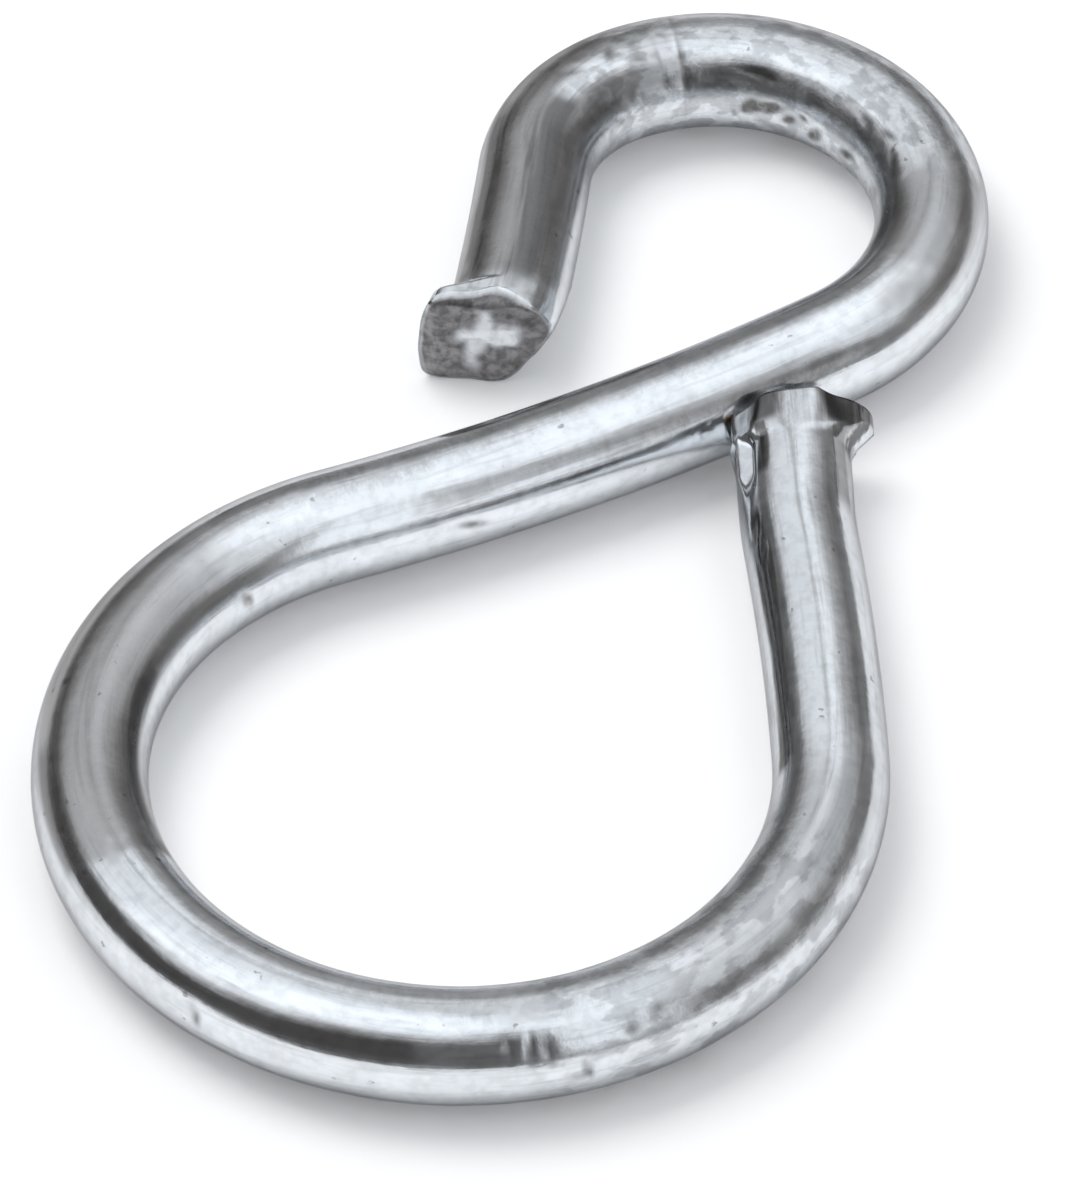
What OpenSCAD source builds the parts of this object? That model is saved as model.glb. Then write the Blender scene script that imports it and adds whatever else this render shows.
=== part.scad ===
// S hook bent from one length of round wire: a large eye closed against its own shank,
// a bowed shank, and a small open hook with a narrow mouth. Both wire ends are sheared.
// Millimetres. The origin is the centre of the closed eye, on the mid-plane of the wire.
// +Y runs along the line of pull, from the eye to the hook; +Z is up as the hook lies flat.

/* [Wire] */
// Diameter of the round wire
wire_d = 5; // [4:0.1:6]
// Radius of the slight curve that the coil leaves in wire that isn't bent
cast_r = 150; // [100:1:250]

/* [Closed eye] */
// Clear width across the round part of the eye
eye_inner_d = 26.2; // [22:0.2:32]
// How far the eye is bent round from the shank to the leg, in degrees
eye_turn = 251.9; // [248:0.1:258]
// Outward bend of the leg where it meets the shank, in degrees
kick_turn = 5.5; // [2:0.5:12]
// Radius of that bend, to the middle of the wire
kick_r = 25; // [18:0.5:40]
// Length of unbent wire left beyond it
tip_len = 4.5; // [3.5:0.1:6]
// Gap left between the end of the leg and the shank
seat_gap = 0.2; // [0.1:0.05:0.6]

/* [Shank] */
// Length of the bowed wire between the eye and the hook
shank_len = 24.2; // [22:0.2:32]
// Radius of the bow in the shank, to the middle of the wire
bow_r = 112; // [90:1:250]

/* [Open hook] */
// Clear width across the round part of the hook
hook_inner_d = 13.6; // [11:0.1:17]
// How far the round part of the hook is bent, in degrees
hook_turn = 171.4; // [162:0.1:176]
// Inside radius of the tighter bend at the nose of the hook
nose_inner_r = 4.5; // [3.5:0.1:5.5]
// How far the nose is bent, in degrees
nose_turn = 59.3; // [54:0.1:66]
// Length of the open leg below the nose
open_len = 7.4; // [5:0.1:9]
// Outward sweep of the sheared end of the leg, in degrees
sweep_turn = 15; // [10:0.1:20]
// Radius of that sweep, to the middle of the wire
sweep_r = 15; // [12:0.5:25]

/* [Sheared ends] */
// How far the sheared face of the eye's end is turned from square, in degrees
eye_skew = 6; // [0:0.5:10]
// How far the sheared face of the hook's end is turned from square, in degrees
hook_skew = 19; // [10:0.5:24]
// How far the squashed lip stands out past the outer side of the eye's end
eye_lip_out = 1.1; // [0.6:0.05:1.3]
// How far the squashed corners stand out past the outer side of the hook's end
hook_lip_out = 0.55; // [0.3:0.05:0.7]
// Length of wire over which the squashed metal swells out
lip_run = 1.8; // [1.4:0.1:2.4]
// Depth of the flat that the blade pressed across the burr side
press_depth = 0.15; // [0.1:0.05:0.4]
// Length of wire over which the pressed flat fades out
press_run = 3; // [2.4:0.1:4]
// Depth of the flat that the clamp pressed on the inner side
grip_depth = 0.45; // [0.2:0.05:0.6]
// Length of wire over which the clamp flat fades out
grip_run = 4; // [3:0.1:4.4]
// Angle of the clamp flat from the mid-plane, in degrees
grip_roll = 32; // [22:1:45]
// Size of the rolled-over edge where the blade entered
rollover = 0.5; // [0.3:0.05:0.9]
// Height of the torn ridges on the sheared face
tear_h = 0.25; // [0.15:0.05:0.4]
// Width of the torn ridges
tear_w = 0.9; // [0.6:0.05:1.2]

/* [Hidden] */

$fn = 96;

// Slope of the rolled-over edge against the sheared face, in degrees
rollover_slope = 30;
// Tilts of the two torn ridges from the mid-plane, in degrees
tear_tilts = [20, 79];
// Rim of the sheared face that the torn ridges keep clear of
tear_rim = 0.7;
// Radius to which the metal swells at the sheared faces, over the wire's own
lip_spread = 1.7;
// Height above which the eye's end is squared, over the wire's radius
lip_shoulder = 0.6;
// Depth to which added forms are sunk into the wire, and by which cutters stand out of it
bite = 0.1;
// Steps to which turns are rounded, and places are split, so that bends meet face to face
step = 0.001;

wire_r = wire_d / 2;
eye_r = eye_inner_d / 2 + wire_r;
hook_r = hook_inner_d / 2 + wire_r;
nose_r = nose_inner_r + wire_r;
bow_turn = turn_of(shank_len, bow_r);
open_turn = turn_of(open_len, cast_r);
tip_turn = turn_of(tip_len, cast_r);

// The wire leaves the top of the eye both ways: along +X as the shank, along -X round the eye.
// Bends are listed in order as [radius, turn], and a turn to the left is positive.
shank_heading = 0;
shank_bends = [
    [bow_r, bow_turn],
    [hook_r, hook_turn],
    [nose_r, nose_turn],
    [cast_r, -open_turn],
    [sweep_r, -sweep_turn]
];
eye_heading = 180;
short_eye_bends = [
    [eye_r, eye_turn],
    [cast_r, step],
    [kick_r, -kick_turn],
    [cast_r, tip_turn]
];

// From a leg of no length, the end swings about the leg's centre of curvature
// until the near edge of its skewed face is seat_gap from the shank.
leg_centre = centre(eye_heading, short_eye_bends, 1);
to_bow = centre(shank_heading, shank_bends, 0) - leg_centre;
tip_heading = heading(eye_heading, short_eye_bends, 4);
to_edge = place(eye_heading, short_eye_bends, 4)
    + wire_r * left_of(tip_heading)
    + wire_d * tan(eye_skew) * left_of(tip_heading + 90)
    - leg_centre;
edge_reach = bow_r + wire_r + seat_gap;
swing_end = acos((norm(to_edge) ^ 2 + norm(to_bow) ^ 2 - edge_reach ^ 2) / (2 * norm(to_edge) * norm(to_bow)));
leg_turn = rounded(bearing(to_bow) - bearing(to_edge) - swing_end);
eye_bends = [for (i = [0 : 3]) i == 1 ? [cast_r, leg_turn] : short_eye_bends[i]];

// The line of pull joins the centres of the eye and the hook.
pull_turn = 90 - bearing(centre(shank_heading, shank_bends, 1));

function rounded(value) = round(value / step) * step;
function turn_of(length, bend_r) = rounded(length / bend_r * 180 / PI);
function bearing(v) = atan2(v.y, v.x);
function left_of(angle) = [-sin(angle), cos(angle)];

// Heading, place and centre of curvature of the wire at the start of bend i
function heading(first, bends, i) =
    i == 0 ? first : heading(first, bends, i - 1) + bends[i - 1][1];
function place(first, bends, i) =
    i == 0 ? [0, eye_r] : centre(first, bends, i - 1) - reach(bends, i - 1) * left_of(heading(first, bends, i));
function centre(first, bends, i) =
    place(first, bends, i) + reach(bends, i) * left_of(heading(first, bends, i));
function reach(bends, i) = sign(bends[i][1]) * bends[i][0];

// Moves its children to a place in a coarse and two fine steps, so that no digit is lost
module set_at(spot) {
    coarse = [round(spot.x), round(spot.y)];
    fine = [rounded(spot.x - coarse.x), rounded(spot.y - coarse.y)];
    translate(coarse)
        translate(fine)
            translate(spot - coarse - fine)
                children();
}

// Round wire bent one arc after another, each in line with the one before
module bent_wire(first, bends) {
    for (i = [0 : len(bends) - 1]) {
        turn = bends[i][1];
        set_at(centre(first, bends, i))
            rotate_extrude(angle = abs(turn), start = heading(first, bends, i) - 90 * sign(turn) + min(turn, 0))
                translate([bends[i][0], 0])
                    circle(r = wire_r);
    }
}

// Puts its children at the end of the wire, +X outward, with the burr side up or down
module at_end(first, bends, burr_up) {
    translate(place(first, bends, len(bends)))
        rotate([0, 0, heading(first, bends, len(bends))])
            mirror([0, 0, burr_up ? 0 : 1])
                children();
}

// Puts its children on the sheared face, which turns back from the outer side of the wire
module on_face(skew) {
    translate([0, -wire_r, 0])
        rotate([0, 0, skew])
            translate([0, wire_r, 0])
                children();
}

// Metal that swells out to a given section at the end of the wire
module swelling(section) {
    intersection() {
        rotate([0, -90, 0])
            cylinder(h = lip_run, r1 = lip_spread * wire_r, r2 = wire_r - bite);
        rotate([90, 0, 90])
            translate([0, 0, -lip_run])
                linear_extrude(lip_run)
                    polygon(section);
    }
}

// Flat lip across the whole burr side of the eye's end
module eye_lip() {
    side = -wire_r - eye_lip_out;
    swelling([
        [side, 0],
        [2 * bite - wire_r, -wire_r / 4],
        [wire_r - 2 * bite, 0],
        [wire_r, lip_shoulder * wire_r],
        [wire_r - 2 * bite, wire_r + bite],
        [-wire_r, wire_r + bite],
        [side, lip_shoulder * wire_r]
    ]);
}

// Squared outer side of the hook's end
module hook_lip() {
    side = -wire_r - hook_lip_out;
    swelling([
        [-wire_r, 2 * bite - wire_r],
        [0, 2 * bite - wire_r],
        [0, wire_r - 2 * bite],
        [side + hook_lip_out / 2, wire_r - 2 * bite],
        [side, wire_r / 4],
        [side, 0]
    ]);
}

// What a flat jaw takes off the wire: it sinks to depth at the end and fades out further back,
// on the side that lies roll degrees from +Y towards the burr side
module flat_mark(depth, fade, roll) {
    rotate([roll - 90, 0, 0])
        translate([0, 0, wire_r - depth])
            rotate([0, atan(depth / fade), 0])
                translate([-fade - wire_r / 2, -wire_d, 0])
                    cube([fade + wire_d, 2 * wire_d, wire_r]);
}

// What the shear takes off: all beyond its skewed face, and the edge that it rolls over
module sheared_off(skew) {
    on_face(skew) {
        translate([0, -wire_d, -wire_d])
            cube([wire_r, 2 * wire_d, 2 * wire_d]);
        translate([0, 0, rollover - wire_r])
            rotate([0, rollover_slope, 0])
                translate([0, -wire_d, -wire_r])
                    cube([wire_r, 2 * wire_d, wire_r]);
    }
}

// Two crossed ridges where the last of the metal tore
module torn_ridges(skew) {
    on_face(skew)
        intersection() {
            for (tilt = tear_tilts)
                rotate([tilt, 0, 0])
                    translate([0, -wire_r, 0])
                        rotate([-90, 0, 0])
                            linear_extrude(wire_d)
                                polygon([[-bite, -tear_w / 2], [-bite, tear_w / 2], [tear_h, 0]]);
            translate([-2 * bite, 0, 0])
                rotate([0, 90, 0])
                    cylinder(h = tear_h + 3 * bite, r = wire_r - tear_rim);
        }
}

// The eye's half of the wire
module eye_half() {
    difference() {
        union() {
            difference() {
                bent_wire(eye_heading, eye_bends);
                at_end(eye_heading, eye_bends, true)
                    flat_mark(grip_depth, grip_run, grip_roll);
            }
            at_end(eye_heading, eye_bends, true)
                eye_lip();
        }
        at_end(eye_heading, eye_bends, true) {
            flat_mark(press_depth, press_run, 90);
            sheared_off(eye_skew);
        }
    }
    at_end(eye_heading, eye_bends, true)
        torn_ridges(eye_skew);
}

// The hook's half of the wire
module hook_half() {
    difference() {
        union() {
            bent_wire(shank_heading, shank_bends);
            at_end(shank_heading, shank_bends, false)
                hook_lip();
        }
        at_end(shank_heading, shank_bends, false)
            sheared_off(hook_skew);
    }
    at_end(shank_heading, shank_bends, false)
        torn_ridges(hook_skew);
}

// The whole wire
module s_hook() {
    color("silver")
        rotate([0, 0, pull_turn]) {
            eye_half();
            hook_half();
        }
}

s_hook();
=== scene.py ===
"""An S hook of bright plated wire lying on white paper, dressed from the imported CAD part."""

import math

import bpy
import numpy as np
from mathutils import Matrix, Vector


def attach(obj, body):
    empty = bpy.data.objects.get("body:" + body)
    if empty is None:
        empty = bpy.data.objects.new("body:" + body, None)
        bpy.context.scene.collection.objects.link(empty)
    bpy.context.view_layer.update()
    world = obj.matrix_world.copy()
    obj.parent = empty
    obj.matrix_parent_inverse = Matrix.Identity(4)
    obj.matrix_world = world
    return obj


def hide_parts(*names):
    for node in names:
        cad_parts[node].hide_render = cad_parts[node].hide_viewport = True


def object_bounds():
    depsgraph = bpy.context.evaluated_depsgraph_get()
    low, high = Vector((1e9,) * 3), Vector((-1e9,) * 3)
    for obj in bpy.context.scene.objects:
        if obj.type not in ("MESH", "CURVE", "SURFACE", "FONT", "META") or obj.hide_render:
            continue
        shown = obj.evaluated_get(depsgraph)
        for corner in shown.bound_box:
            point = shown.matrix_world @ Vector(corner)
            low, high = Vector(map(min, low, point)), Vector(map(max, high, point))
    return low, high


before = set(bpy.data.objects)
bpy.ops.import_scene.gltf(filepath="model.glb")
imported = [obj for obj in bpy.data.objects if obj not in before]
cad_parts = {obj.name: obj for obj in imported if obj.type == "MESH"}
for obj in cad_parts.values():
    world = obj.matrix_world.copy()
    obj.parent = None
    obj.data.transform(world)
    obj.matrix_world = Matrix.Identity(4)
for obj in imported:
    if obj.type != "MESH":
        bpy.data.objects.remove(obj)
cad_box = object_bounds()

MM = 0.001

# ---------------------------------------------------------------- the wire's course, in mm and degrees
# The same bends as the solid's, as (radius, turn), from the top of the eye towards either end.
WIRE_R = 2.5
EYE_R = 15.6
SHANK = (0.0, [(112.0, 12.38), (9.3, 171.4), (7.0, 59.3), (150.0, -2.827), (15.0, -15.0)])
EYE = (180.0, [(EYE_R, 251.9), (150.0, 4.885), (25.0, -5.5), (150.0, 1.719)])


def chain_length(chain):
    return sum(abs(math.radians(turn)) * radius for radius, turn in chain[1])


def along(chain, distance):
    """Place and heading of the wire, a distance along a chain from the top of the eye."""
    x, y, heading = 0.0, EYE_R, math.radians(chain[0])
    last = len(chain[1]) - 1
    for i, (radius, turn) in enumerate(chain[1]):
        length = abs(math.radians(turn)) * radius
        side = math.copysign(1.0, turn)
        step = distance if i == last else min(distance, length)
        end = heading + side * step / radius
        x += side * radius * (math.sin(end) - math.sin(heading))
        y -= side * radius * (math.cos(end) - math.cos(heading))
        if step < length or i == last:
            return x, y, end
        heading, distance = end, distance - length


def hook_centre():
    bow_r, bow_turn = SHANK[1][0]
    hook_r = SHANK[1][1][0]
    x, y, heading = along(SHANK, math.radians(bow_turn) * bow_r)
    return x - hook_r * math.sin(heading), y + hook_r * math.cos(heading)


# The line of pull, from the centre of the eye to the centre of the hook, is turned onto +Y.
PULL = math.pi / 2 - math.atan2(hook_centre()[1], hook_centre()[0])
L_EYE, L_SHANK = chain_length(EYE), chain_length(SHANK)


def stations():
    """Distances along the wire, from the eye's end (-L_EYE) to the hook's, closer together where it is marked."""
    # the ends' last stretches, the marked one under the eye, and the small hook
    end_run = 4.5
    bounds = [-L_EYE, end_run - L_EYE, -54.0, -44.0, 34.0, 56.0, L_SHANK - end_run, L_SHANK]
    steps = [0.1, 0.29, 0.2, 0.29, 0.18, 0.29, 0.1]
    runs = [
        np.linspace(lo, hi, int(round((hi - lo) / step)), endpoint=False)
        for lo, hi, step in zip(bounds, bounds[1:], steps)
    ]
    return np.concatenate(runs + [[L_SHANK]])


def place(s, offset, height):
    """Points at distances s along the wire, offset to its left and at a height, in mm in the part's frame."""
    rows = np.array([along(EYE, -d) if d < 0 else along(SHANK, d) for d in s])
    back = np.where(s < 0, math.pi, 0.0)
    heading = rows[:, 2] + back + PULL
    c, w = math.cos(PULL), math.sin(PULL)
    x, y = c * rows[:, 0] - w * rows[:, 1], w * rows[:, 0] + c * rows[:, 1]
    return np.stack([x - np.sin(heading) * offset, y + np.cos(heading) * offset, height], axis=-1)


# ---------------------------------------------------------------- tools for the shape of its section
def smooth_min(a, b, k):
    h = np.clip(0.5 + 0.5 * (b - a) / k, 0, 1)
    return b + (a - b) * h - k * h * (1 - h)


def smooth_max(a, b, k):
    return -smooth_min(-a, -b, k)


def ramp(x, lo, hi):
    t = np.clip((x - lo) / (hi - lo), 0, 1)
    return t * t * (3 - 2 * t)


def polygon_reach(angle, corners):
    """How far a polygon with rounded corners reaches from the wire's middle in each direction."""
    sharpness, through_middle = 12.0, 0.01
    total = np.zeros(angle.shape)
    ux, uy = np.cos(angle), np.sin(angle)
    for (ax, ay), (bx, by) in zip(corners, corners[1:] + corners[:1]):
        nx, ny = by - ay, ax - bx
        size = math.hypot(nx, ny)
        facing = (ux * nx + uy * ny) / size
        distance = (ax * nx + ay * ny) / size
        if distance > through_middle:
            total += (np.maximum(facing, 0.0) / distance) ** sharpness
    return total ** (-1 / sharpness)


def flat_reach(angle, roll, distance):
    """How far a flat reaches that is square to the direction roll, at a distance from the wire's middle."""
    least, none = 0.05, 1e3
    facing = np.cos(angle - math.radians(roll))
    return np.where(facing > least, distance / np.maximum(facing, least), none)


def waves(seed, s, a, size):
    """Repeatable gentle unevenness over the wire, a few sines of about the given size in mm."""
    sines, usual_peak = 14, 4.0
    rng = np.random.default_rng(seed)
    most = max(1, int(2 * math.pi * WIRE_R / size))
    out = np.zeros(s.shape)
    for _ in range(sines):
        out += rng.uniform(0.4, 1.0) * np.sin(
            rng.normal(0, 2.0 / size) * s + rng.integers(-most, most + 1) * a + rng.uniform(0, 6.28)
        )
    return out / usual_peak


def nick(s, a, at, angle, slant, half_long, half_wide):
    """1 in the middle of a small dent, falling to 0 round it."""
    ds = s - at
    da = (np.mod(a - math.radians(angle) + math.pi, 2 * math.pi) - math.pi) * WIRE_R
    c, w = math.cos(math.radians(slant)), math.sin(math.radians(slant))
    return np.exp(-(((ds * c + da * w) / half_long) ** 2) - ((-ds * w + da * c) / half_wide) ** 2)


# ---------------------------------------------------------------- marks and squashed ends
# Tool marks: distance along the wire, angle up from its left side, slant, half length, half width, depth.
NICKS = [
    # under the eye, with the row of bright dents in its dark band
    (-51.2, 48, 20, 0.5, 0.3, 0.03), (-50.0, 38, -30, 0.4, 0.3, 0.035), (-48.1, 8, 80, 0.6, 0.2, 0.045),
    (-46.7, 38, 85, 0.7, 0.16, 0.05), (-46.1, 40, 95, 0.7, 0.16, 0.05), (-45.3, 42, 90, 0.5, 0.14, 0.04),
    # round the eye's left, and at the start of the shank
    (-33.2, 10, 75, 0.7, 0.22, 0.04), (-6.2, 165, 60, 0.5, 0.3, 0.05), (5.4, 172, 15, 0.8, 0.25, 0.04),
    # on top of the small hook and on its inner side
    (35.4, 52, 10, 0.9, 0.2, 0.04), (37.1, 60, -15, 0.8, 0.2, 0.04), (38.8, 50, 10, 0.7, 0.2, 0.035),
    (39.0, 3, -15, 0.7, 0.25, 0.06), (41.8, -4, -35, 0.6, 0.33, 0.07), (42.6, 12, 20, 0.4, 0.18, 0.04),
    (43.6, 2, -20, 0.5, 0.26, 0.06), (44.9, 10, -12, 0.8, 0.3, 0.08), (46.1, 7, -40, 0.5, 0.34, 0.09),
    (47.0, -3, 60, 0.35, 0.15, 0.03), (45.9, 44, 5, 0.9, 0.16, 0.06), (45.2, 40, 0, 0.6, 0.3, 0.05),
    # the cross-wise line before the hook's nose, and the leg below the eye's end
    (49.8, 60, 90, 3.2, 0.14, 0.035), (51.0, 70, 88, 2.4, 0.12, 0.02), (53.2, 84, 30, 0.5, 0.4, 0.03),
    (-81.4, 146, 20, 0.8, 0.25, 0.05), (-79.8, 138, 10, 0.6, 0.22, 0.04),
]

# The drawn wire's unevenness: seed, size and height. Its mean surface stays a little inside the solid's.
UNEVEN = [(3, 4.0, 0.008), (4, 1.6, 0.004)]
SKIN = 0.014
SCALES_DEPTH = 0.05
# Seeds of the other uneven places
SCALES_SEED, EYE_LIP_SEED, HOOK_LIP_SEED, LEDGE_SEED, TORN_SEED = 5, 8, 9, 12, 21

# The jaws' grip on the eye's end: angle of its flat from the mid-plane, depth, and run.
GRIP_ROLL, GRIP_DEPTH, GRIP_RUN = 32, 0.2, 4.0
# Depth and run of the flats that were pressed on top of the eye's end, and below the hook's end
EYE_PRESS, EYE_PRESS_RUN = 0.15, 3.0
HOOK_PRESS, HOOK_PRESS_RUN, HOOK_PRESS_ROLL = 0.6, 5.0, -32
# Run of the swollen lips, and the radius that they swell to over the wire's own
LIP_RUN, SPREAD = 1.8, 1.7
# Sections of the squashed ends, as seen along the wire with its left side at the right.
EYE_LIP = [(3.55, 0.1), (3.45, 1.15), (2.1, 2.0), (0.35, 2.5), (-1.5, 2.2), (-2.65, 1.3), (-2.7, 0.2), (-2.2, -0.6)]
HOOK_LIP = [(0.0, 2.4), (-2.7, 2.35), (-3.3, 0.3), (-3.35, -0.6), (-3.0, -2.4), (0.0, -2.4)]


def scales(s, a):
    """The rough patch on the hook's nose: many shallow dents side by side."""
    dents, half_long, half_wide = 34, 0.42, 0.26
    rng = np.random.default_rng(SCALES_SEED)
    out = np.zeros(s.shape)
    for _ in range(dents):
        at, angle = rng.uniform(49.9, 55.0), rng.uniform(15, 120)
        strength, slant = rng.uniform(0.4, 1), rng.uniform(0, 180)
        out = np.maximum(out, strength * nick(s, a, at, angle, slant, half_long, half_wide))
    return out


def ledge(a):
    """Section of the squashed flank on the side of the eye's opening: a nearly level ledge behind a short step."""
    top_height, top_lean, least = 1.71, 100, 0.3
    top = top_height / np.maximum(np.cos(a - math.radians(top_lean)), least)
    flank = WIRE_R / np.maximum(-np.cos(a), least)
    there = ramp(a, math.radians(135), math.radians(141)) * ramp(a, math.radians(190), math.radians(180))
    return np.minimum(top, flank), there


def swelling(from_end):
    """Radius of the cone that an end's squashed metal stays within."""
    return WIRE_R - 0.1 + (1 - from_end / LIP_RUN) * ((SPREAD - 1) * WIRE_R + 0.1)


def shape_eye_end(r, s, a):
    """A flat from the jaws on the side of the eye's opening, a ledge, flared lips, and a pressed top."""
    from_eye = s + L_EYE
    grip = flat_reach(math.pi - a, GRIP_ROLL, WIRE_R - GRIP_DEPTH * (1 - from_eye / GRIP_RUN))
    r = np.where(from_eye < GRIP_RUN + 2, smooth_min(r, grip, 0.12), r)
    shelf, there = ledge(a)
    there = there * ramp(from_eye, 0.7, 1.3) * ramp(from_eye, 5.2, 3.6)
    r = r + there * (shelf + 0.02 * waves(LEDGE_SEED, s, a, 1.2) - r)
    lip = np.minimum(polygon_reach(a, EYE_LIP), swelling(from_eye)) + 0.07 * waves(EYE_LIP_SEED, s, a, 1.3)
    r = np.where(from_eye < LIP_RUN + 1.2, smooth_max(r, lip, 0.4), r)
    press = flat_reach(a, 90, WIRE_R - EYE_PRESS * (1 - from_eye / EYE_PRESS_RUN))
    return np.where(from_eye < EYE_PRESS_RUN + 2, smooth_min(r, press, 0.1), r)


def shape_hook_end(r, s, a):
    """The hook's end is squared on its outer side, and flattened low on its inner side."""
    from_hook = L_SHANK - s
    outer_side = np.cos(a) < 0.02
    lip = np.where(outer_side, np.minimum(polygon_reach(a, HOOK_LIP), swelling(from_hook)), 0.0)
    r = np.where(from_hook < LIP_RUN + 1.0, smooth_max(r, lip, 0.25), r)
    press = flat_reach(a, HOOK_PRESS_ROLL, WIRE_R - HOOK_PRESS * (1 - from_hook / HOOK_PRESS_RUN))
    r = np.where(from_hook < HOOK_PRESS_RUN, smooth_min(r, press, 0.5), r)
    return r + 0.035 * ramp(from_hook, 2.5, 0.5) * waves(HOOK_LIP_SEED, s, a, 1.5)


def reach(s, a):
    """Radius of the wire at distance s along it, in the direction a from its left side towards its top."""
    r = WIRE_R - SKIN
    for seed, size, height in UNEVEN:
        r = r + height * waves(seed, s, a, size)
    for at, angle, slant, half_long, half_wide, depth in NICKS:
        r -= depth * nick(s, a, at, angle, slant, half_long, half_wide)
    r -= SCALES_DEPTH * scales(s, a)
    r = shape_hook_end(shape_eye_end(r, s, a), s, a)
    # it never reaches below the floor or above the wire's own height
    tall, least = np.abs(np.sin(a)), 0.05
    return np.where(tall > least, np.minimum(r, WIRE_R / np.maximum(tall, least)), r)


# ---------------------------------------------------------------- the sheared ends
EYE_SKEW, HOOK_SKEW, LEAD = math.radians(6), math.radians(19), 4.4
ROLLED, ROLL_RUN, ROLL_SLOPE = 0.5, 1.2, math.radians(55)
# How strongly the top of the eye's lip leans towards the shank, and the run of the lean
LEAN, LEAN_RUN = 0.32, 2.2


def sheared(s, offset, height):
    """How far points of the last stretch move along the wire, so that its faces lean and one edge is rolled."""
    from_eye, from_hook = s + L_EYE, L_SHANK - s
    steep = math.tan(ROLL_SLOPE)
    eye = np.clip(1 - from_eye / LEAD, 0, 1) * math.tan(EYE_SKEW) * (WIRE_R - offset)
    eye += ramp(from_eye, ROLL_RUN, 0) * np.maximum(0, -height - WIRE_R + ROLLED) * steep
    over = WIRE_R - np.sqrt(WIRE_R ** 2 - np.clip(height, 0, 2.35) ** 2)
    eye -= LEAN * ramp(from_eye, LEAN_RUN, 0) * over
    hook = np.clip(1 - from_hook / LEAD, 0, 1) * math.tan(HOOK_SKEW) * (WIRE_R + offset)
    hook += ramp(from_hook, ROLL_RUN, 0) * np.maximum(0, height - WIRE_R + ROLLED) * steep
    return np.where(from_eye < LEAD, eye, 0) - np.where(from_hook < LEAD, hook, 0)


def ridge(offset, height, tilt, middle, half_long, half_wide):
    """1 along the crest of a ragged ridge on a sheared face, 0 away from it."""
    c, w = math.cos(math.radians(tilt)), math.sin(math.radians(tilt))
    x, y = offset - middle[0], height - middle[1]
    run, off = x * c + y * w, y * c - x * w
    off = off + 0.12 * np.sin(2.6 * run + tilt) + 0.05 * np.sin(7.1 * run)
    width = half_wide * (1.15 + 0.45 * np.sin(1.9 * run + 0.6 + tilt))
    return ramp(np.abs(run), half_long, half_long - 0.7) * ramp(np.abs(off), width + 0.35, width - 0.25)


def burnished(offset, height):
    """The bright crossed ridges that stand on a torn face."""
    return np.maximum(
        ridge(offset, height, 6, (-0.2, 0.3), 1.65, 0.36),
        0.85 * ridge(offset, height, 76, (-0.5, 0.1), 2.1, 0.28),
    )


# Vertices round the wire, and rings of them on each sheared face
SEGMENTS, LAYERS = 128, 18
# How far the ridges, the rest of a face and its very middle stand proud
RIDGE_LIFT, FACE_LIFT, TIP_LIFT = 0.08, 0.06, 0.19
# How much of the bare steel's look is left on the ridges, and at a face's very middle
RIDGE_RAW, TIP_RAW = 0.15, 0.1


def sheared_face(at, side, up, sign):
    """Chunks of vertices: the rings from the rim of a sheared face inwards, and its middle one."""
    rings = []
    for t in 1 - (np.arange(1, LAYERS + 1) / (LAYERS + 1)) ** 0.9:
        o, h = side * t, up * t
        flat, size = np.full(SEGMENTS, at), np.full(SEGMENTS, t)
        shine = burnished(o, h)
        inside = ramp(size, 1.0, 0.93)
        raw = inside if sign > 0 else ramp(size, 0.85, 0.6)
        rough = 0.05 * waves(TORN_SEED, 1.7 * o, 0 * o, 1.0) * inside + 0.04 * np.sin(5.1 * h + 2.3 * o) * inside
        lift = RIDGE_LIFT * shine * inside + rough * (1 - shine) + FACE_LIFT * inside
        torn = raw * (1 - (1 - RIDGE_RAW) * shine)
        rings.append((flat + sheared(flat, o, h) + sign * lift, o, h, torn, 0 * o, flat))
    zero, flat = np.zeros(1), np.full(1, at)
    tip = (flat + sheared(flat, zero, zero) + sign * TIP_LIFT, zero, zero, zero + TIP_RAW, zero, flat)
    return rings, tip


# ---------------------------------------------------------------- its mesh
# The speck of rust beside the eye's end: distance along the wire, angle, slant, half length and half width
RUST_SPECK = (17.5, 157, 80, 0.35, 0.22)
# Depth from which a tool mark looks fully worn, and how worn the rough patch looks
WORN_DEPTH, SCALES_WORN = 0.08, 0.35


def band(first, second):
    """Quads between two rings of vertices, facing outward where the second is further along the wire."""
    return np.stack([first, np.roll(first, -1), np.roll(second, -1), second], axis=1)


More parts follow.
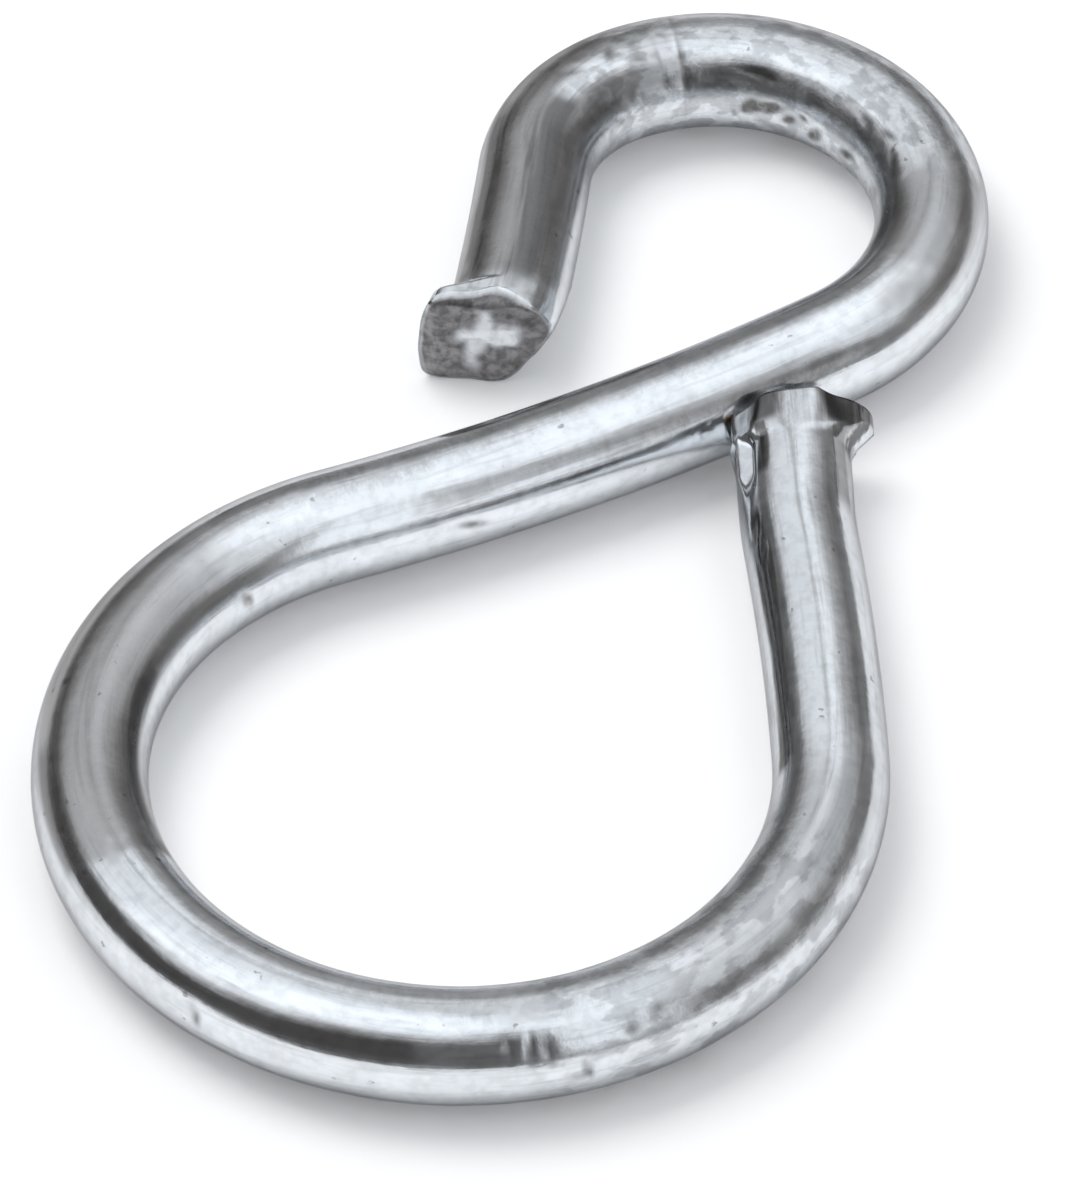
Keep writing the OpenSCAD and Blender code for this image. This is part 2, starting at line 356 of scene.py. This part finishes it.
def build_wire():
    s = stations()
    angles = np.linspace(-math.pi / 2, 1.5 * math.pi, SEGMENTS, endpoint=False)
    ss, aa = np.meshgrid(s, angles, indexing="ij")
    radius = reach(ss, aa)
    side, up = radius * np.cos(aa), radius * np.sin(aa)
    worn = sum(depth / WORN_DEPTH * nick(ss, aa, *rest) for *rest, depth in NICKS) + SCALES_WORN * scales(ss, aa)
    # each chunk of vertices: place along the wire, offset, height, torn, worn, and distance before shearing
    chunks = [(ss + sheared(ss, side, up), side, up, np.zeros(ss.shape), ramp(worn, 0.05, 0.6), ss)]
    around = np.arange(SEGMENTS)
    last_ring = len(s) - 1
    quads = [band(i * SEGMENTS + around, (i + 1) * SEGMENTS + around) for i in range(last_ring)]
    triangles = []
    start = len(s) * SEGMENTS
    for ring, sign in ((0, -1), (last_ring, 1)):
        outer = ring * SEGMENTS + around
        rings, tip = sheared_face(s[ring], side[ring], up[ring], sign)
        for chunk in rings:
            inner = start + around
            face = band(outer, inner)
            quads.append(face if sign > 0 else face[:, ::-1])
            chunks.append(chunk)
            outer, start = inner, start + SEGMENTS
        chunks.append(tip)
        for a, b in zip(outer.tolist(), np.roll(outer, -1).tolist()):
            triangles.append([a, b, start] if sign > 0 else [start, b, a])
        start += 1
    columns = (np.concatenate([np.ravel(chunk[k]) for chunk in chunks]) for k in range(6))
    moved, offset, height, torn, wear, plain = columns
    rust = nick(plain, np.arctan2(height, offset), *RUST_SPECK)
    points = place(moved, offset, height) * MM
    mesh = bpy.data.meshes.new("wire")
    mesh.from_pydata(points.tolist(), [], np.concatenate(quads).tolist() + triangles)
    mesh.validate()
    mesh.polygons.foreach_set("use_smooth", [True] * len(mesh.polygons))
    for name, values in (("wire_co", (plain, offset, height)), ("marks", (torn, wear, rust))):
        layer = mesh.attributes.new(name, "FLOAT_VECTOR", "POINT")
        layer.data.foreach_set("vector", np.stack(values, axis=1).astype(np.float32).ravel())
    mesh.update()
    obj = bpy.data.objects.new("wire", mesh)
    bpy.context.scene.collection.objects.link(obj)
    return obj


wire = build_wire()


# ---------------------------------------------------------------- shader arithmetic
class Shade:
    """Writes sums of shader nodes as plain arithmetic."""

    def __init__(self, tree):
        self.tree = tree
        tree.nodes.clear()

    def link(self, output, socket):
        self.tree.links.new(output, socket)

    def feed(self, socket, value):
        if isinstance(value, bpy.types.NodeSocket):
            self.link(value, socket)
        elif value is not None:
            socket.default_value = value

    def new(self, kind, *values, **settings):
        """A node, with its first inputs linked or set."""
        node = self.tree.nodes.new("ShaderNode" + kind)
        for name, value in settings.items():
            setattr(node, name, value)
        for i, value in enumerate(values):
            self.feed(node.inputs[i], value)
        return node

    def node(self, kind, *values, output=0, **settings):
        """An output of such a node."""
        return self.new(kind, *values, **settings).outputs[output]

    def math(self, operation, *values):
        return self.node("Math", *values, operation=operation)

    def add(self, a, b):
        return self.math("ADD", a, b)

    def chain(self, operation, values):
        out = values[0]
        for value in values[1:]:
            out = self.math(operation, out, value)
        return out

    def mul(self, *values):
        return self.chain("MULTIPLY", values)

    def most(self, *values):
        return self.chain("MAXIMUM", values)

    def rise(self, value, lo, hi, to_lo=0.0, to_hi=1.0):
        return self.node("MapRange", value, lo, hi, to_lo, to_hi, interpolation_type="SMOOTHSTEP")

    def fall(self, value, lo, hi, to_lo=1.0, to_hi=0.0):
        return self.rise(value, lo, hi, to_lo, to_hi)

    def dot(self, vector, axis):
        return self.node("VectorMath", vector, axis, output="Value", operation="DOT_PRODUCT")

    def split(self, vector):
        return self.new("SeparateXYZ", vector).outputs

    def join(self, x, y, z):
        return self.node("CombineXYZ", x, y, z)

    def noise(self, vector, scale, detail=2.0):
        return self.node("TexNoise", vector, None, scale, detail)

    def scaled(self, vector, factor):
        node = self.new("VectorMath", vector, operation="SCALE")
        self.link(factor, node.inputs["Scale"])
        return node.outputs[0]

    def mix(self, factor, first, second):
        """A blend of two colours, each an output or plain red, green and blue."""
        node = self.new("Mix", factor, data_type="RGBA")
        for socket, value in ((node.inputs[6], first), (node.inputs[7], second)):
            self.feed(socket, (*value, 1) if isinstance(value, tuple) else value)
        return node.outputs[2]


def material(name):
    m = bpy.data.materials.new(name)
    m.use_nodes = True
    return m, Shade(m.node_tree)


# ---------------------------------------------------------------- bright zinc on drawn steel wire
ZINC, GREY_ZINC = (0.755, 0.782, 0.81), (0.765, 0.758, 0.76)
EDGE_TINT = (0.5, 0.485, 0.48, 1)
SPECK, SCUFF, RUST = (0.19, 0.175, 0.16), (0.17, 0.165, 0.16), (0.30, 0.15, 0.05)
BARE_DARK, BARE_LIGHT = (0.16, 0.155, 0.155), (0.34, 0.33, 0.335)
BUMP_HEIGHT = 0.012

plate, sh = material("zinc_plate")
wire_co = sh.node("Attribute", output="Vector", attribute_name="wire_co")
marks = sh.split(sh.node("Attribute", output="Vector", attribute_name="marks"))
torn, worn, rusty = marks[0], marks[1], marks[2]
s, side, up = sh.split(wire_co)


def stretched(factor):
    """The wire's own coordinates, with patterns drawn out along it."""
    return sh.join(sh.mul(s, factor), side, up)


blotches = sh.noise(stretched(0.45), 0.8, 4.0)
mottle = sh.noise(wire_co, 1.9, 4.0)
streaks = sh.noise(stretched(0.07), 3.2, 3.0)
hairlines = sh.noise(stretched(0.03), 11.0, 2.0)
patches = sh.noise(stretched(0.6), 1.15, 3.0)
grit = sh.noise(wire_co, 2.6, 5.0)
specks = sh.rise(sh.noise(wire_co, 1.3, 3.0), 0.69, 0.75)

# distance along the wire, and angle round it, both made to wander so that nothing ends in a straight line
wander = sh.add(s, sh.mul(sh.add(sh.noise(wire_co, 0.45), -0.5), 7.0))
ragged = sh.add(sh.math("ARCTAN2", up, side), sh.mul(sh.add(streaks, -0.5), 0.35))

# stretches that the bending tools left grey: the eye's left, the hook's start, the open leg, and below the closed leg
dull = sh.mul(
    sh.most(
        sh.mul(sh.rise(wander, -27.0, -24.5), sh.fall(wander, -12.0, -1.0)),
        sh.mul(sh.rise(wander, 25.0, 29.0), sh.fall(wander, 33.0, 37.0), 0.8),
        sh.mul(sh.rise(wander, 48.5, 55.0), sh.fall(s, 67.6, 69.2)),
        sh.mul(sh.rise(wander, -69.0, -64.0), sh.fall(wander, -55.0, -50.0), 0.45),
    ),
    sh.rise(up, 0.7, 1.7),
    sh.rise(mottle, 0.25, 0.6, 0.75, 1.0),
)
# stretches that they battered: the small hook, and the eye's lower right
battered = sh.most(
    sh.mul(sh.rise(wander, 31.0, 37.0), sh.fall(wander, 53.0, 59.0)),
    sh.mul(sh.rise(wander, -66.0, -60.0), sh.fall(wander, -48.0, -45.0), 0.8),
)


def lengthwise_band(where, start, end, middle, width, strength, frayed):
    """A lengthwise band: its start and end, the angle of its middle up from the wire's left side, and its width."""
    return sh.mul(
        sh.rise(where, start - frayed, start + frayed), sh.fall(where, end - frayed, end + frayed),
        sh.fall(sh.math("ABSOLUTE", sh.add(ragged, -middle)), 0.4 * width, 1.5 * width), strength,
    )


# Painted dark reflections: lengthwise dark bands painted into the plating where it mirrors dark surroundings, as
# start, end, middle, width and strength.
PAINTED_REFLECTION_BANDS = [
    (-82.0, -66.5, 2.47, 0.2, 0.85), (-84.0, -60.0, 1.22, 0.26, 0.4), (-42.0, -19.0, 0.72, 0.26, 0.5),
    (-25.0, -13.0, 2.42, 0.2, 0.6), (-4.0, 22.0, 0.6, 0.2, 0.45), (4.0, 23.0, 2.38, 0.2, 0.5),
    (29.0, 49.5, 0.8, 0.2, 0.5), (57.0, 68.5, 2.35, 0.2, 0.6), (56.5, 70.0, 1.28, 0.34, 0.65),
    (49.5, 58.0, 0.78, 0.34, 0.5),
]
# Painted shade in the creases of the eye's end: the same kind of dark band, with how frayed they are.
PAINTED_CREASE_SHADE = [
    (-90.0, -86.8, 0.75, 0.32, 1.0, 0.4), (-90.0, -86.9, 2.05, 0.28, 1.0, 0.4), (-87.2, -84.0, 2.14, 0.12, 0.85, 0.4),
    (-90.0, -85.6, 0.34, 0.12, 0.85, 0.5), (-88.0, -82.0, 0.66, 0.2, 0.6, 1.0),
]
# how frayed the ends of the painted reflection bands are
REFLECTION_BANDS_FRAYED = 1.5

# painted shade in the eye's creases and painted dark reflections along the wire, both darkening the plating's colour
painted_shade_and_reflection = sh.most(
    *[lengthwise_band(wander, *values, REFLECTION_BANDS_FRAYED) for values in PAINTED_REFLECTION_BANDS],
    *[lengthwise_band(s, *values) for values in PAINTED_CREASE_SHADE],
)
polished = lengthwise_band(s, 52.3, 56.8, 1.4, 0.24, 0.85, 0.6)
dull = sh.mul(dull, sh.fall(polished, 0.0, 1.0))
# the painted shade and painted reflections darken the tone, together with battered patches, blotches, mottle, streaks
# and dull stretches
tone = sh.mul(
    sh.fall(painted_shade_and_reflection, 0.0, 1.0, 1.0, 0.2),
    sh.fall(sh.mul(battered, sh.fall(patches, 0.4, 0.56)), 0.0, 1.0, 1.0, 0.7),
    sh.rise(blotches, 0.3, 0.7, 0.94, 1.05), sh.rise(mottle, 0.3, 0.6, 0.92, 1.04),
    sh.rise(streaks, 0.3, 0.48, 0.88, 1.02), sh.fall(dull, 0.0, 1.0, 1.0, 0.56),
)
# dull stretches, the painted shade and the painted reflections all take the grey zinc tint
shaded = sh.scaled(sh.mix(sh.most(dull, painted_shade_and_reflection), ZINC, GREY_ZINC), tone)
spotted = sh.mix(sh.mul(specks, 0.6), shaded, SPECK)
scuffed = sh.mix(sh.mul(worn, sh.rise(mottle, 0.3, 0.55, 0.6, 1.0)), spotted, SCUFF)
bare = sh.mix(sh.rise(grit, 0.3, 0.7), BARE_DARK, BARE_LIGHT)
skin = sh.mix(torn, sh.mix(rusty, scuffed, RUST), bare)
gloss = sh.add(
    sh.add(sh.rise(blotches, 0.35, 0.7, 0.13, 0.2), sh.add(sh.mul(dull, 0.1), sh.mul(battered, 0.1))),
    sh.add(sh.mul(torn, 0.34), sh.mul(worn, 0.1)),
)
relief = sh.add(
    sh.add(sh.mul(mottle, sh.rise(battered, 0.0, 1.0, 0.7, 1.7)), sh.mul(hairlines, 0.16)),
    sh.add(sh.mul(streaks, 0.3), sh.mul(torn, grit, 6.0)),
)
bump = sh.new("Bump")
bump.inputs["Distance"].default_value = BUMP_HEIGHT * MM
sh.link(relief, bump.inputs["Height"])
bsdf = sh.new("BsdfPrincipled")
bsdf.inputs["Metallic"].default_value = 1.0
bsdf.inputs["Specular Tint"].default_value = EDGE_TINT
sh.link(skin, bsdf.inputs["Base Color"])
sh.link(gloss, bsdf.inputs["Roughness"])
sh.link(bump.outputs[0], bsdf.inputs["Normal"])
sh.new("OutputMaterial", bsdf.outputs[0])
wire.data.materials.append(plate)

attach(wire, "root")
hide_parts("s_hook")

# ---------------------------------------------------------------- the photograph's angle
AZIMUTH, ELEVATION, DISTANCE, PX_PER_MM = 18.32, 45.74, 766.0, 23.547
TARGET = (-0.0565, 10.755, 0.0)
FRAME_HEIGHT_PX, SENSOR = 1200, 36
turn, tilt = math.radians(AZIMUTH), math.radians(ELEVATION)

# ---------------------------------------------------------------- studio
BOX_LEVEL = 1.14
COOL, WARM = (0.965, 1.0, 1.035), (1.0, 0.985, 0.985)

world = bpy.data.worlds.new("studio")
bpy.context.scene.world = world
world.use_nodes = True
sky = Shade(world.node_tree)
direction = sky.node("TexCoord", output="Generated")
right = sky.dot(direction, (math.cos(turn), math.sin(turn), 0))
away = sky.dot(direction, (-math.sin(turn), math.cos(turn), 0))
above = sky.dot(direction, (0, 0, 1))
# u and v are where a direction meets a ceiling 1 above, to the right and away
high = sky.math("MAXIMUM", above, 0.03)
u, v = sky.math("DIVIDE", right, high), sky.math("DIVIDE", away, high)
across = sky.add(u, sky.mul(v, 0.16))
round_about = sky.math("ARCTAN2", right, away)
# a broad softbox overhead to the left, and a narrower one to the right of it past a thin gap
left_box = sky.mul(
    sky.fall(across, 0.02, 0.12), sky.rise(u, -2.0, -1.3), sky.rise(v, -0.95, -0.1),
    sky.rise(v, 0.1, 0.6, 1.0, 0.66), sky.rise(v, 0.9, 2.2, 1.0, 0.15),
)
right_box = sky.mul(
    sky.rise(across, 0.1, 0.22), sky.rise(u, 0.3, 0.8, 0.95, 0.6), sky.rise(u, 1.1, 2.2, 1.0, 0.08),
    sky.rise(v, -0.95, -0.35), sky.rise(v, 0.6, 2.0, 1.0, 0.2),
)
gap = sky.mul(
    sky.rise(across, -0.02, 0.1, 0.0, 0.5), sky.fall(across, 0.12, 0.24),
    sky.rise(v, -0.6, -0.2), sky.fall(v, 0.6, 2.0),
)
# a tall softbox at the right, a dim room round them all, and a pale band at the horizon
tall_box = sky.mul(
    sky.rise(round_about, 2.05, 2.42, 0.0, 0.82), sky.fall(round_about, 2.62, 2.86), sky.rise(above, 0.02, 0.3),
)
boxes = sky.math("MINIMUM", sky.most(sky.add(left_box, right_box), tall_box, gap), 1.0)
room = sky.add(sky.rise(away, 0.2, 0.95, 0.12, 0.14), sky.rise(right, 0.2, 0.8, 0.0, 0.08))
horizon = sky.fall(above, 0.0, 0.025, 0.85, 0.0)
level = sky.most(sky.add(room, sky.mul(boxes, BOX_LEVEL)), horizon)
tint = sky.mix(sky.rise(level, 0.2, 1.0), WARM, COOL)
sky.new("OutputWorld", sky.node("Background", tint, level))

# ---------------------------------------------------------------- white paper
FLOOR_SIZE = 2.0
PAPER_DARK, PAPER_LIGHT, PAPER_GRAIN = (0.885, 0.88, 0.88), (0.905, 0.90, 0.90), 900.0
PAPER_GLOW = 0.1

bpy.ops.mesh.primitive_plane_add(size=FLOOR_SIZE, location=(0, 0, cad_box[0][2]))
floor = bpy.context.object
floor.name = "floor"
paper, fsh = material("paper")
rays = fsh.new("LightPath").outputs
shown = fsh.add(fsh.add(rays["Is Camera Ray"], rays["Is Glossy Ray"]), rays["Is Transmission Ray"])
glow = fsh.node("Emission", None, fsh.mul(fsh.math("MINIMUM", shown, 1.0), PAPER_GLOW))
diffuse = fsh.node("BsdfDiffuse", fsh.mix(fsh.noise(None, PAPER_GRAIN), PAPER_DARK, PAPER_LIGHT))
fsh.new("OutputMaterial", fsh.node("AddShader", diffuse, glow))
floor.data.materials.append(paper)


# ---------------------------------------------------------------- lamp and camera
def softbox(name, az, el, distance, size, watts):
    """A square lamp that lights the object from a direction given about the camera's heading."""
    lamp = bpy.data.lights.new(name, "AREA")
    lamp.size, lamp.energy = size, watts
    obj = bpy.data.objects.new(name, lamp)
    bpy.context.scene.collection.objects.link(obj)
    a, e = math.radians(az) - turn, math.radians(el)
    aim = Vector((math.sin(a) * math.cos(e), math.cos(a) * math.cos(e), math.sin(e)))
    obj.location = aim * distance
    obj.rotation_euler = aim.to_track_quat("Z", "Y").to_euler()
    obj.visible_glossy = False


softbox("key", az=-45, el=60, distance=0.6, size=0.35, watts=1.6)

back = Vector((math.sin(turn) * math.cos(tilt), -math.cos(turn) * math.cos(tilt), math.sin(tilt)))
camera = bpy.data.objects.new("camera", bpy.data.cameras.new("camera"))
bpy.context.scene.collection.objects.link(camera)
camera.data.sensor_width = SENSOR
camera.data.lens = SENSOR * DISTANCE * PX_PER_MM / FRAME_HEIGHT_PX
camera.data.clip_end = 10
camera.location = Vector(TARGET) * MM + back * DISTANCE * MM
camera.rotation_euler = (math.pi / 2 - tilt, 0, turn)
bpy.context.scene.camera = camera

bpy.context.scene.view_settings.view_transform = "Standard"
